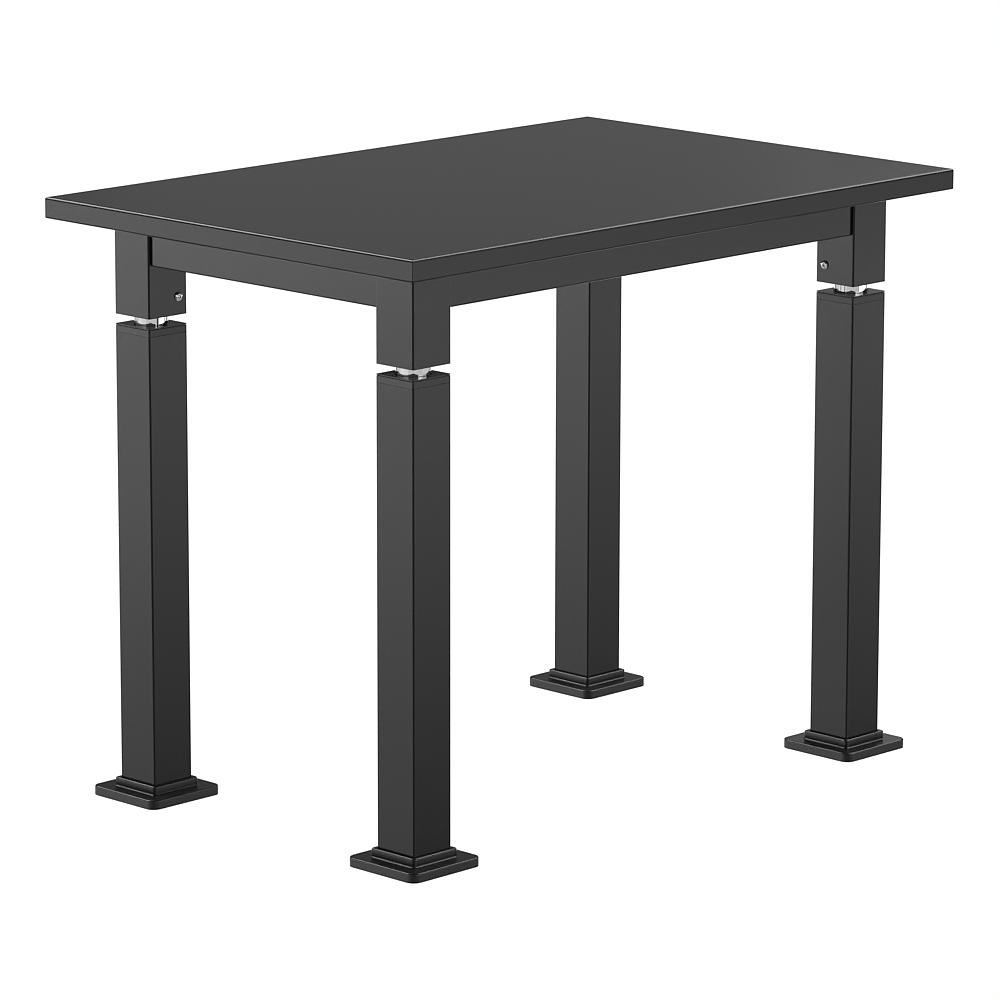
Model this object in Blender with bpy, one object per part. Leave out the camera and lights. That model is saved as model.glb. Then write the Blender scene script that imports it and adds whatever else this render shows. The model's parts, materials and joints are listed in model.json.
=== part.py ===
"""Height-adjustable laboratory table.

A tabletop on a rail frame with four short square stubs. A polished round column hangs from
each stub and slides in a square lower leg, where a motor-driven spindle raises it.
Metres, +Z up, origin on the floor under the middle of the top, long side along X.
The pieces stand at the lowest setting.
"""

import math

import bmesh
import bpy
from mathutils import Matrix, Vector

# Tabletop
TOP_LENGTH = 0.900
TOP_DEPTH = 0.600
TOP_THICKNESS = 0.025
TOP_CORNER_RADIUS = 0.0008
TOP_UPPER_ROUNDING = 0.0025
TOP_LOWER_ROUNDING = 0.001
WORKTOP_HEIGHT = 0.708  # at the lowest setting

# Frame under the top
TOP_OVERHANG = 0.0555  # past the outer faces of the legs, all round
RAIL_HEIGHT = 0.049
RAIL_DEPTH = 0.025
RAIL_WALL = 0.0015
RAIL_CORNER_RADIUS = 0.002
RAIL_SETBACK = 0.004  # from the outer face of the stubs
FIXING_END_DISTANCE = 0.080  # top fixing holes, from the rail's ends
FIXING_HOLE_RADIUS = 0.00275
FIXING_ACCESS_RADIUS = 0.006

# Square tubes: stubs above, lower legs below
LEG_SIDE = 0.059
LEG_WALL = 0.002
LEG_CORNER_RADIUS = 0.0024
STUB_LENGTH = 0.1105

# Button-head screws in the inner faces of the stubs
SCREW_HEIGHT = 0.0215  # above the stub's lower end
SCREW_EDGE_DISTANCE = 0.0138  # from the stub's inner corner
SCREW_RADIUS = 0.003
SCREW_LENGTH = 0.008
SCREW_HEAD_RADIUS = 0.00525
SCREW_HEAD_HEIGHT = 0.0033
SCREW_RIM_HEIGHT = 0.0006
SCREW_SOCKET_WIDTH = 0.004  # across the flats of the hex
SCREW_SOCKET_DEPTH = 0.002

# Lifting column
COLUMN_RADIUS = 0.019
COLUMN_WALL = 0.0025
COLUMN_SHOWN = 0.0113  # between stub and guide cap at the lowest setting
LIFT_STROKE = 0.280
HEAD_RECESS = 0.0115  # head block above the stub's lower end
HEAD_HEIGHT = 0.020
HEAD_SPIGOT_LENGTH = 0.025
GLIDE_LENGTH = 0.030

# Guide cap and wiper ring on the lower leg
CAP_FLANGE_HEIGHT = 0.0095
CAP_TOP_ROUNDING = 0.001
CAP_PLUG_LENGTH = 0.040
WIPER_MARGIN = 0.006  # from the ring to the edge of the cap
WIPER_SEAT_DEPTH = 0.003
WIPER_PROUD = 0.0015
WIPER_ROUNDING = 0.0008

# Spindle drive inside the lower leg
MOTOR_FLANGE_HEIGHT = 0.008
MOTOR_SLACK = 0.0035  # round the motor's body in the tube
MOTOR_LENGTH = 0.122
GEARHEAD_STEP = 0.004
GEARHEAD_LENGTH = 0.014
HUB_RADIUS = 0.013
HUB_LENGTH = 0.014
SPINDLE_RADIUS = 0.008
SPINDLE_SEAT_DEPTH = 0.010  # in the motor's hub
SPINDLE_COLLAR_RADIUS = 0.012
SPINDLE_COLLAR_LENGTH = 0.006
SPINDLE_SPARE = 0.010  # past the nut at the highest setting
LOW_STOP_GAP = 0.002  # between collar and nut at the lowest setting
NUT_FLANGE_LENGTH = 0.004
NUT_FLANGE_STEP = 0.004  # past the column's outside
NUT_BODY_LENGTH = 0.026

# Stepped foot
FOOT_SIDE = 0.109
FOOT_CORNER_RADIUS = 0.0115
FOOT_SOLE_ROUNDING = 0.0006
FOOT_PLATE_HEIGHT = 0.0112
FOOT_PLATE_ROUNDING = 0.0017
FOOT_COLLAR_WALL = 0.0052
FOOT_COLLAR_HEIGHT = 0.0099
FOOT_COLLAR_FILLET = 0.0012  # hollow, where the collar meets the plate
FOOT_COLLAR_ROUNDING = 0.0018
FOOT_COLLAR_CORNER_RADIUS = 0.0045
FOOT_FLOOR = 0.006  # under the leg tube

# Fits
SEAT_GAP = 0.0003  # between pieces that sit on, in or against each other

# Facets
SHARP_ANGLE = math.radians(35)
FINE_CORNER_STEPS = 5  # in a quarter turn
CORNER_STEPS = 4
COARSE_CORNER_STEPS = 3
SMALL_CORNER_STEPS = 2
ROUNDING_SHARE = 1 - math.sqrt(0.5)  # where the middle of a rounding lies

# Levels above the floor
TOP_UNDERSIDE = WORKTOP_HEIGHT - TOP_THICKNESS
FRAME_TOP = TOP_UNDERSIDE - SEAT_GAP
STUB_BOTTOM = TOP_UNDERSIDE - STUB_LENGTH
SCREW_LEVEL = STUB_BOTTOM + SCREW_HEIGHT
HEAD_BOTTOM = STUB_BOTTOM + HEAD_RECESS
CAP_TOP = STUB_BOTTOM - COLUMN_SHOWN
CAP_SEAM = CAP_TOP - CAP_FLANGE_HEIGHT
LEG_BOTTOM = FOOT_FLOOR + SEAT_GAP
MOTOR_TOP = LEG_BOTTOM + MOTOR_FLANGE_HEIGHT + MOTOR_LENGTH
GEARHEAD_TOP = MOTOR_TOP + GEARHEAD_LENGTH
HUB_TOP = GEARHEAD_TOP + HUB_LENGTH
COLLAR_TOP = HUB_TOP + SEAT_GAP + SPINDLE_COLLAR_LENGTH
NUT_BOTTOM = COLLAR_TOP + LOW_STOP_GAP
NUT_FLANGE_TOP = NUT_BOTTOM + NUT_FLANGE_LENGTH
NUT_TOP = NUT_FLANGE_TOP + NUT_BODY_LENGTH
COLUMN_BOTTOM = NUT_FLANGE_TOP + SEAT_GAP
COLUMN_TOP = HEAD_BOTTOM - SEAT_GAP
SPINDLE_TOP = NUT_TOP + LIFT_STROKE + SPINDLE_SPARE

# Sizes that follow from the others
LEG_SPACING_X = TOP_LENGTH - 2 * TOP_OVERHANG - LEG_SIDE
LEG_SPACING_Y = TOP_DEPTH - 2 * TOP_OVERHANG - LEG_SIDE
LEG_BORE = LEG_SIDE - 2 * LEG_WALL
PLUG_SIDE = LEG_BORE - 2 * SEAT_GAP  # whatever fills the tube
PLUG_CORNER_RADIUS = LEG_CORNER_RADIUS - LEG_WALL + SEAT_GAP
COLUMN_BORE_RADIUS = COLUMN_RADIUS - COLUMN_WALL
COLUMN_RUN_RADIUS = COLUMN_RADIUS + SEAT_GAP  # holes that the column runs in
SCREW_OFFSET = LEG_SIDE / 2 - SCREW_EDGE_DISTANCE

# Corner of the table: side along X, side along Y, quarter turns that bring its inner faces to +X and +Y
CORNERS = {
    "front_left": (-1, -1, 0),
    "front_right": (1, -1, 1),
    "rear_right": (1, 1, 2),
    "rear_left": (-1, 1, 3),
}


def clear_scene():
    for old in list(bpy.data.objects):
        bpy.data.objects.remove(old, do_unlink=True)


def finish(name, colour, roughness, metallic):
    """A plain Principled material."""
    material = bpy.data.materials.new(name)
    material.use_nodes = True
    shader = material.node_tree.nodes["Principled BSDF"]
    shader.inputs["Base Color"].default_value = (*colour, 1)
    shader.inputs["Roughness"].default_value = roughness
    shader.inputs["Metallic"].default_value = metallic
    return material


def rounded_rectangle(length, depth, radius, level, steps):
    """Anticlockwise points of a level rounded rectangle, with its arcs in the given steps."""
    points = []
    for quarter, (side_x, side_y) in enumerate(((1, 1), (-1, 1), (-1, -1), (1, -1))):
        centre = Vector((side_x * (length / 2 - radius), side_y * (depth / 2 - radius), level))
        for step in range(steps + 1):
            angle = (quarter + step / steps) * math.pi / 2
            points.append(centre + radius * Vector((math.cos(angle), math.sin(angle), 0)))
    return points


def rounded_square(side, radius, level, steps):
    return rounded_rectangle(side, side, radius, level, steps)


def circle(radius, level, steps):
    """As many points as a rounded rectangle of these steps, so that the two can be joined."""
    count = 4 * (steps + 1)
    turns = [(index + 0.5) / count * 2 * math.pi for index in range(count)]
    return [Vector((radius * math.cos(turn), radius * math.sin(turn), level)) for turn in turns]


def hexagon(width, level, steps):
    """Points of a hexagon across its flats, in the directions of the circle of these steps.

    A corner lies in the first direction.
    """
    directions = circle(1, level, steps)
    first = math.atan2(directions[0].y, directions[0].x)
    points = []
    for direction in directions:
        turn = math.atan2(direction.y, direction.x) - first
        from_flat = turn % (math.pi / 3) - math.pi / 6
        reach = width / 2 / math.cos(from_flat)
        points.append(Vector((direction.x * reach, direction.y * reach, level)))
    return points


def chained(name, rings, closed=False):
    """Mesh through rings of points, one after the other.

    The last ring joins the first in a closed chain, as on a tube. Otherwise both end rings are filled.
    """
    build = bmesh.new()
    loops = [[build.verts.new(point) for point in ring] for ring in rings]
    pairs = list(zip(loops, loops[1:]))
    if closed:
        pairs.append((loops[-1], loops[0]))
    else:
        build.faces.new(loops[0])
        build.faces.new(loops[-1])
    for lower, upper in pairs:
        for index in range(len(lower)):
            following = (index + 1) % len(lower)
            build.faces.new((lower[index], lower[following], upper[following], upper[index]))
    bmesh.ops.recalc_face_normals(build, faces=build.faces)
    mesh = bpy.data.meshes.new(name)
    build.to_mesh(mesh)
    build.free()
    return mesh


def tube(name, outline, bore, bottom, top, steps):
    """Square or rectangular tube: outline and bore are length, depth and corner radius."""
    rings = [
        rounded_rectangle(*outline, bottom, steps),
        rounded_rectangle(*outline, top, steps),
        rounded_rectangle(*bore, top, steps),
        rounded_rectangle(*bore, bottom, steps),
    ]
    return chained(name, rings, closed=True)


def cut(mesh, cutters):
    """The mesh with every cutter mesh taken out of it."""
    body = bpy.data.objects.new("body_to_cut", mesh)
    bpy.context.collection.objects.link(body)
    tools = []
    for cutter in cutters:
        tool = bpy.data.objects.new("cutter", cutter)
        tool.hide_render = True
        tool.display_type = "WIRE"
        bpy.context.collection.objects.link(tool)
        tools.append(tool)
        difference = body.modifiers.new("cut", "BOOLEAN")
        difference.operation = "DIFFERENCE"
        difference.solver = "EXACT"
        difference.object = tool
    depsgraph = bpy.context.evaluated_depsgraph_get()
    result = bpy.data.meshes.new_from_object(body.evaluated_get(depsgraph))
    result.name = mesh.name
    for spare in (body, *tools):
        bpy.data.objects.remove(spare, do_unlink=True)
    return result


def finished(mesh, material):
    """The mesh with its material, smooth but for its sharp edges."""
    mesh.materials.clear()
    mesh.materials.append(material)
    mesh.shade_smooth()
    mesh.set_sharp_from_angle(angle=SHARP_ANGLE)
    return mesh


def empty(name, location=(0, 0, 0), quarter=0, parent=None):
    holder = bpy.data.objects.new(name, None)
    holder.location = location
    holder.rotation_euler = (0, 0, quarter * math.pi / 2)
    holder.parent = parent
    bpy.context.collection.objects.link(holder)
    return holder


def place(name, mesh, parent, location=(0, 0, 0), rotation=(0, 0, 0)):
    piece = bpy.data.objects.new(name, mesh)
    piece.location = location
    piece.rotation_euler = rotation
    piece.parent = parent
    bpy.context.collection.objects.link(piece)
    return piece


def tabletop_mesh():
    """Slab with crisp corners, its upper edge rounder than its lower one."""
    def outline(inset, level):
        length = TOP_LENGTH - 2 * inset
        depth = TOP_DEPTH - 2 * inset
        return rounded_rectangle(length, depth, TOP_CORNER_RADIUS, level, SMALL_CORNER_STEPS)

    low, high = TOP_LOWER_ROUNDING, TOP_UPPER_ROUNDING
    rings = [
        outline(low, TOP_UNDERSIDE),
        outline(low * ROUNDING_SHARE, TOP_UNDERSIDE + low * ROUNDING_SHARE),
        outline(0, TOP_UNDERSIDE + low),
        outline(0, WORKTOP_HEIGHT - high),
        outline(high * ROUNDING_SHARE, WORKTOP_HEIGHT - high * ROUNDING_SHARE),
        outline(high, WORKTOP_HEIGHT),
    ]
    return chained("tabletop", rings)


def rail_mesh(name, length):
    """Rectangular tube along X, centred, with a stepped hole for each top fixing.

    A screwdriver reaches through the wide hole below to the screw in the narrow hole above.
    """
    outline = (RAIL_HEIGHT, RAIL_DEPTH, RAIL_CORNER_RADIUS)
    bore_radius = RAIL_CORNER_RADIUS - RAIL_WALL
    bore = (RAIL_HEIGHT - 2 * RAIL_WALL, RAIL_DEPTH - 2 * RAIL_WALL, bore_radius)
    mesh = tube(name, outline, bore, -length / 2, length / 2, COARSE_CORNER_STEPS)
    mesh.transform(Matrix.Rotation(math.pi / 2, 4, "Y"))
    cutters = []
    for side in (-1, 1):
        rings = [
            circle(FIXING_ACCESS_RADIUS, -RAIL_HEIGHT, SMALL_CORNER_STEPS),
            circle(FIXING_ACCESS_RADIUS, 0, SMALL_CORNER_STEPS),
            circle(FIXING_HOLE_RADIUS, 0, SMALL_CORNER_STEPS),
            circle(FIXING_HOLE_RADIUS, RAIL_HEIGHT, SMALL_CORNER_STEPS),
        ]
        cutter = chained("fixing_cutter", rings)
        cutter.transform(Matrix.Translation((side * (length / 2 - FIXING_END_DISTANCE), 0, 0)))
        cutters.append(cutter)
    return cut(mesh, cutters)


def screw_placings():
    """Where the two screws of a stub sit, with the turn that points their heads along +X and +Y."""
    face = LEG_SIDE / 2 + SEAT_GAP
    return {
        "a": ((face, SCREW_OFFSET, SCREW_LEVEL), (0, math.pi / 2, 0)),
        "b": ((SCREW_OFFSET, face, SCREW_LEVEL), (-math.pi / 2, 0, 0)),
    }


def screw_hole_cutters():
    """One clearance cutter for each screw's shank."""
    cutters = []
    for location, (turn_x, turn_y, _) in screw_placings().values():
        rings = [
            circle(SCREW_RADIUS + SEAT_GAP, -SCREW_LENGTH - SEAT_GAP, SMALL_CORNER_STEPS),
            circle(SCREW_RADIUS + SEAT_GAP, SCREW_HEAD_HEIGHT, SMALL_CORNER_STEPS),
        ]
        cutter = chained("screw_hole_cutter", rings)
        cutter.transform(Matrix.Rotation(turn_x, 4, "X") @ Matrix.Rotation(turn_y, 4, "Y"))
        cutter.transform(Matrix.Translation(location))
        cutters.append(cutter)
    return cutters


def leg_tube_mesh(name, bottom, top):
    """Square tube of the stubs and lower legs."""
    outline = (LEG_SIDE, LEG_SIDE, LEG_CORNER_RADIUS)
    bore = (LEG_BORE, LEG_BORE, LEG_CORNER_RADIUS - LEG_WALL)
    return tube(name, outline, bore, bottom, top, COARSE_CORNER_STEPS)


def stub_mesh():
    return cut(leg_tube_mesh("stub", STUB_BOTTOM, FRAME_TOP), screw_hole_cutters())


def stub_screw_mesh():
    """Button-head screw along +Z, its head's underside at the origin."""
    shank = SCREW_RADIUS
    rim = SCREW_RIM_HEIGHT
    dome = SCREW_HEAD_HEIGHT - rim
    crown = SCREW_SOCKET_WIDTH / 2 / math.cos(math.pi / 6) + SEAT_GAP
    spread = SCREW_HEAD_RADIUS - crown
    rings = [
        circle(shank, -SCREW_LENGTH, SMALL_CORNER_STEPS),
        circle(shank, 0, SMALL_CORNER_STEPS),
        circle(SCREW_HEAD_RADIUS, 0, SMALL_CORNER_STEPS),
        circle(SCREW_HEAD_RADIUS, rim, SMALL_CORNER_STEPS),
        circle(crown + spread * math.sqrt(0.5), rim + dome * math.sqrt(0.5), SMALL_CORNER_STEPS),
        circle(crown, SCREW_HEAD_HEIGHT, SMALL_CORNER_STEPS),
        hexagon(SCREW_SOCKET_WIDTH, SCREW_HEAD_HEIGHT, SMALL_CORNER_STEPS),
        hexagon(SCREW_SOCKET_WIDTH, SCREW_HEAD_HEIGHT - SCREW_SOCKET_DEPTH, SMALL_CORNER_STEPS),
    ]
    return chained("stub_screw", rings)


def column_head_mesh():
    """Square block in the stub, with a round spigot down into the column and two screw holes."""
    spigot = COLUMN_BORE_RADIUS - SEAT_GAP
    rings = [
        circle(spigot, HEAD_BOTTOM - HEAD_SPIGOT_LENGTH, COARSE_CORNER_STEPS),
        circle(spigot, HEAD_BOTTOM, COARSE_CORNER_STEPS),
        rounded_square(PLUG_SIDE, PLUG_CORNER_RADIUS, HEAD_BOTTOM, COARSE_CORNER_STEPS),
        rounded_square(PLUG_SIDE, PLUG_CORNER_RADIUS, HEAD_BOTTOM + HEAD_HEIGHT, COARSE_CORNER_STEPS),
    ]
    return cut(chained("column_head", rings), screw_hole_cutters())


def column_mesh():
    rings = [
        circle(COLUMN_RADIUS, COLUMN_BOTTOM, FINE_CORNER_STEPS),
        circle(COLUMN_RADIUS, COLUMN_TOP, FINE_CORNER_STEPS),
        circle(COLUMN_BORE_RADIUS, COLUMN_TOP, FINE_CORNER_STEPS),
        circle(COLUMN_BORE_RADIUS, COLUMN_BOTTOM, FINE_CORNER_STEPS),
    ]
    return chained("column", rings, closed=True)


def column_glide_mesh():
    """Sliding block round the column's lower end, square outside and round inside."""
    top = COLUMN_BOTTOM + GLIDE_LENGTH
    rings = [
        rounded_square(PLUG_SIDE, PLUG_CORNER_RADIUS, COLUMN_BOTTOM, FINE_CORNER_STEPS),
        rounded_square(PLUG_SIDE, PLUG_CORNER_RADIUS, top, FINE_CORNER_STEPS),
        circle(COLUMN_RUN_RADIUS, top, FINE_CORNER_STEPS),
        circle(COLUMN_RUN_RADIUS, COLUMN_BOTTOM, FINE_CORNER_STEPS),
    ]
    return chained("column_glide", rings, closed=True)


def spindle_nut_mesh():
    """Flanged nut in the column's lower end. Its flange carries the glide and the column."""
    flange = COLUMN_RADIUS + NUT_FLANGE_STEP
    body = COLUMN_BORE_RADIUS - SEAT_GAP
    thread = SPINDLE_RADIUS + SEAT_GAP
    rings = [
        circle(flange, NUT_BOTTOM, COARSE_CORNER_STEPS),
        circle(flange, NUT_FLANGE_TOP, COARSE_CORNER_STEPS),
        circle(body, NUT_FLANGE_TOP, COARSE_CORNER_STEPS),
        circle(body, NUT_TOP, COARSE_CORNER_STEPS),
        circle(thread, NUT_TOP, COARSE_CORNER_STEPS),
        circle(thread, NUT_BOTTOM, COARSE_CORNER_STEPS),
    ]
    return chained("spindle_nut", rings, closed=True)


def spindle_mesh():
    """Lifting spindle from the motor's hub up through the nut, with a collar on the hub."""
    collar_bottom = HUB_TOP + SEAT_GAP
    rings = [
        circle(SPINDLE_RADIUS, HUB_TOP - SPINDLE_SEAT_DEPTH + SEAT_GAP, COARSE_CORNER_STEPS),
        circle(SPINDLE_RADIUS, collar_bottom, COARSE_CORNER_STEPS),
        circle(SPINDLE_COLLAR_RADIUS, collar_bottom, COARSE_CORNER_STEPS),
        circle(SPINDLE_COLLAR_RADIUS, COLLAR_TOP, COARSE_CORNER_STEPS),
        circle(SPINDLE_RADIUS, COLLAR_TOP, COARSE_CORNER_STEPS),
        circle(SPINDLE_RADIUS, SPINDLE_TOP, COARSE_CORNER_STEPS),
    ]
    return chained("spindle", rings)


def gear_motor_mesh():
    """Motor on a square flange, then its gearhead and a hub with a seat for the spindle."""
    body = LEG_BORE / 2 - MOTOR_SLACK
    gearhead = body - GEARHEAD_STEP
    flange_top = LEG_BOTTOM + MOTOR_FLANGE_HEIGHT
    seat = SPINDLE_RADIUS + SEAT_GAP
    rings = [
        rounded_square(PLUG_SIDE, PLUG_CORNER_RADIUS, LEG_BOTTOM, COARSE_CORNER_STEPS),
        rounded_square(PLUG_SIDE, PLUG_CORNER_RADIUS, flange_top, COARSE_CORNER_STEPS),
        circle(body, flange_top, COARSE_CORNER_STEPS),
        circle(body, MOTOR_TOP, COARSE_CORNER_STEPS),
        circle(gearhead, MOTOR_TOP, COARSE_CORNER_STEPS),
        circle(gearhead, GEARHEAD_TOP, COARSE_CORNER_STEPS),
        circle(HUB_RADIUS, GEARHEAD_TOP, COARSE_CORNER_STEPS),
        circle(HUB_RADIUS, HUB_TOP, COARSE_CORNER_STEPS),
        circle(seat, HUB_TOP, COARSE_CORNER_STEPS),
        circle(seat, HUB_TOP - SPINDLE_SEAT_DEPTH, COARSE_CORNER_STEPS),
    ]
    return chained("gear_motor", rings)


def guide_cap_mesh():
    """Cap flush with the leg, its plug down in the tube, bored for the column and seating the wiper ring."""
    plug_bottom = CAP_SEAM - CAP_PLUG_LENGTH
    rounding = CAP_TOP_ROUNDING
    share = rounding * ROUNDING_SHARE
    seat = LEG_SIDE / 2 - WIPER_MARGIN + SEAT_GAP
    seat_floor = CAP_TOP - WIPER_SEAT_DEPTH
    corner = LEG_CORNER_RADIUS
    rings = [
        rounded_square(PLUG_SIDE, PLUG_CORNER_RADIUS, plug_bottom, FINE_CORNER_STEPS),
        rounded_square(PLUG_SIDE, PLUG_CORNER_RADIUS, CAP_SEAM, FINE_CORNER_STEPS),
        rounded_square(LEG_SIDE, corner, CAP_SEAM, FINE_CORNER_STEPS),
        rounded_square(LEG_SIDE, corner, CAP_TOP - rounding, FINE_CORNER_STEPS),
        rounded_square(LEG_SIDE - 2 * share, corner - share, CAP_TOP - share, FINE_CORNER_STEPS),
        rounded_square(LEG_SIDE - 2 * rounding, corner - rounding, CAP_TOP, FINE_CORNER_STEPS),
        circle(seat, CAP_TOP, FINE_CORNER_STEPS),
        circle(seat, seat_floor, FINE_CORNER_STEPS),
        circle(COLUMN_RUN_RADIUS, seat_floor, FINE_CORNER_STEPS),
        circle(COLUMN_RUN_RADIUS, plug_bottom, FINE_CORNER_STEPS),
    ]
    return chained("guide_cap", rings, closed=True)


def wiper_ring_mesh():
    """Ring in the cap's seat, standing a little proud of it with a rounded shoulder."""
    outer = LEG_SIDE / 2 - WIPER_MARGIN
    bottom = CAP_TOP - WIPER_SEAT_DEPTH + SEAT_GAP
    top = CAP_TOP + WIPER_PROUD
    rounding = WIPER_ROUNDING
    share = rounding * ROUNDING_SHARE
    rings = [
        circle(outer, bottom, FINE_CORNER_STEPS),
        circle(outer, top - rounding, FINE_CORNER_STEPS),
        circle(outer - share, top - share, FINE_CORNER_STEPS),
        circle(outer - rounding, top, FINE_CORNER_STEPS),
        circle(COLUMN_RUN_RADIUS, top, FINE_CORNER_STEPS),
        circle(COLUMN_RUN_RADIUS, bottom, FINE_CORNER_STEPS),
    ]
    return chained("wiper_ring", rings, closed=True)


def foot_mesh():
    """Stepped boot: plate and collar with a hollow between them, and a socket for the leg tube."""
    socket = LEG_SIDE + 2 * SEAT_GAP
    socket_radius = LEG_CORNER_RADIUS + SEAT_GAP
    collar = socket + 2 * FOOT_COLLAR_WALL
    collar_top = FOOT_PLATE_HEIGHT + FOOT_COLLAR_HEIGHT

    def hollow(side, radius, bottom, fillet):
        share = fillet * ROUNDING_SHARE
        return [
            rounded_square(side + 2 * fillet, radius + fillet, bottom, CORNER_STEPS),
            rounded_square(side + 2 * share, radius + share, bottom + share, CORNER_STEPS),
            rounded_square(side, radius, bottom + fillet, CORNER_STEPS),
        ]

    def shoulder(side, radius, top, rounding):
        share = rounding * ROUNDING_SHARE
        return [
            rounded_square(side, radius, top - rounding, CORNER_STEPS),
            rounded_square(side - 2 * share, radius - share, top - share, CORNER_STEPS),
            rounded_square(side - 2 * rounding, radius - rounding, top, CORNER_STEPS),
        ]

    edge = FOOT_SOLE_ROUNDING
    rings = [
        rounded_square(FOOT_SIDE - 2 * edge, FOOT_CORNER_RADIUS - edge, 0, CORNER_STEPS),
        rounded_square(FOOT_SIDE, FOOT_CORNER_RADIUS, edge, CORNER_STEPS),
        *shoulder(FOOT_SIDE, FOOT_CORNER_RADIUS, FOOT_PLATE_HEIGHT, FOOT_PLATE_ROUNDING),
        *hollow(collar, FOOT_COLLAR_CORNER_RADIUS, FOOT_PLATE_HEIGHT, FOOT_COLLAR_FILLET),
        *shoulder(collar, FOOT_COLLAR_CORNER_RADIUS, collar_top, FOOT_COLLAR_ROUNDING),
        rounded_square(socket, socket_radius, collar_top, CORNER_STEPS),
        rounded_square(socket, socket_radius, FOOT_FLOOR, CORNER_STEPS),
    ]
    return chained("foot", rings)


def build_top(lift, paint, worktop):
    """Tabletop and the four rails."""
    place("tabletop", finished(tabletop_mesh(), worktop), lift)
    rail_level = FRAME_TOP - RAIL_HEIGHT / 2
    inset = LEG_SIDE / 2 - RAIL_SETBACK - RAIL_DEPTH / 2
    long_length = LEG_SPACING_X - LEG_SIDE - 2 * SEAT_GAP
    long_rail = finished(rail_mesh("long_rail", long_length), paint)
    short_length = LEG_SPACING_Y - LEG_SIDE - 2 * SEAT_GAP
    short_rail = finished(rail_mesh("short_rail", short_length), paint)
    for name, side in (("front_rail", -1), ("rear_rail", 1)):
        place(name, long_rail, lift, (0, side * (LEG_SPACING_Y / 2 + inset), rail_level))
    for name, side in (("left_rail", -1), ("right_rail", 1)):
        location = (side * (LEG_SPACING_X / 2 + inset), 0, rail_level)
        place(name, short_rail, lift, location, (0, 0, math.pi / 2))


def build_legs(lift, paint):
    """The pieces of each leg: those that stand on the floor, and those that rise with the top."""
    chrome = finish("polished_chrome", (0.78, 0.78, 0.78), 0.06, 1)
    steel = finish("bright_steel", (0.62, 0.62, 0.62), 0.25, 1)
    moulding = finish("black_moulding", (0.012, 0.012, 0.012), 0.35, 0)
    acetal = finish("white_acetal", (0.75, 0.75, 0.72), 0.45, 0)
    zinc = finish("zinc_casting", (0.45, 0.46, 0.47), 0.5, 1)
    standing = {
        "lower_leg": finished(leg_tube_mesh("lower_leg", LEG_BOTTOM, CAP_SEAM - SEAT_GAP), paint),
        "guide_cap": finished(guide_cap_mesh(), moulding),
        "wiper_ring": finished(wiper_ring_mesh(), moulding),
        "foot": finished(foot_mesh(), moulding),
        "gear_motor": finished(gear_motor_mesh(), zinc),
        "spindle": finished(spindle_mesh(), steel),
    }
    rising = {
        "stub": finished(stub_mesh(), paint),
        "column_head": finished(column_head_mesh(), zinc),
        "column": finished(column_mesh(), chrome),
        "column_glide": finished(column_glide_mesh(), acetal),
        "spindle_nut": finished(spindle_nut_mesh(), acetal),
    }
    screw = finished(stub_screw_mesh(), steel)
    for corner, (side_x, side_y, quarter) in CORNERS.items():
        location = (side_x * LEG_SPACING_X / 2, side_y * LEG_SPACING_Y / 2, 0)
        leg = empty(f"leg_{corner}", location, quarter)
        riser = empty(f"riser_{corner}", location, quarter, lift)
        for kind, mesh in standing.items():
            place(f"{kind}_{corner}", mesh, leg)
        for kind, mesh in rising.items():
            place(f"{kind}_{corner}", mesh, riser)
        for letter, (seat, turn) in screw_placings().items():
            place(f"stub_screw_{corner}_{letter}", screw, riser, seat, turn)


def main():
    clear_scene()
    paint = finish("black_powder_coat", (0.012, 0.012, 0.012), 0.4, 0)
    worktop = finish("black_worktop", (0.014, 0.014, 0.014), 0.38, 0)
    lift = empty("lift")
    build_top(lift, paint, worktop)
    build_legs(lift, paint)


main()
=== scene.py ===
import json
import math

import bpy
import numpy as np
from mathutils import Matrix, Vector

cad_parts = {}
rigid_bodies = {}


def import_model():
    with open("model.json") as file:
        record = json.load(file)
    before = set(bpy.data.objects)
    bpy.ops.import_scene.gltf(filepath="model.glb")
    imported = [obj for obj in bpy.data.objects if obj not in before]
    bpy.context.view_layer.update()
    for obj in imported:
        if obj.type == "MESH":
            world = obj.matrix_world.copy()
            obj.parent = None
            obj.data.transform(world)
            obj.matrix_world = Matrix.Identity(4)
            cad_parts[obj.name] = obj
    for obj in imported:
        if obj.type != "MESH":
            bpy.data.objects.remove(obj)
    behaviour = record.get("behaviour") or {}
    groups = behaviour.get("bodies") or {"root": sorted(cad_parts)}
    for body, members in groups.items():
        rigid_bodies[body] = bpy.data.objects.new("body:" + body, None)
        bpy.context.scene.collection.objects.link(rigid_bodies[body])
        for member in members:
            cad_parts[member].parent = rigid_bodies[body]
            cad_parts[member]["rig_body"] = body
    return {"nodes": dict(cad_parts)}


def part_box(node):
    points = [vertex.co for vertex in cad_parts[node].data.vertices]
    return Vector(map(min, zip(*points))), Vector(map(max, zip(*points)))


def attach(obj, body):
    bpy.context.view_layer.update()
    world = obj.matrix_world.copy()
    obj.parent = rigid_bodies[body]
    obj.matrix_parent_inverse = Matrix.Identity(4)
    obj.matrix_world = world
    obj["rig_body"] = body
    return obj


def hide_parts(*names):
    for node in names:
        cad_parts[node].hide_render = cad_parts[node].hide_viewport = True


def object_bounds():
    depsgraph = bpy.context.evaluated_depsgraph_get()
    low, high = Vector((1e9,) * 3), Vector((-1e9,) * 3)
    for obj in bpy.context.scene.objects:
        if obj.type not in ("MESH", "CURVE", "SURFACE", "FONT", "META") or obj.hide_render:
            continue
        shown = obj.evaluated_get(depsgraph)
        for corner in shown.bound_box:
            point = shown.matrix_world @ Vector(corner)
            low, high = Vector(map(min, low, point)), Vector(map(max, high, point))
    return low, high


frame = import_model()
cadLow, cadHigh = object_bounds()
corners = ("front_left", "front_right", "rear_right", "rear_left")


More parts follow.
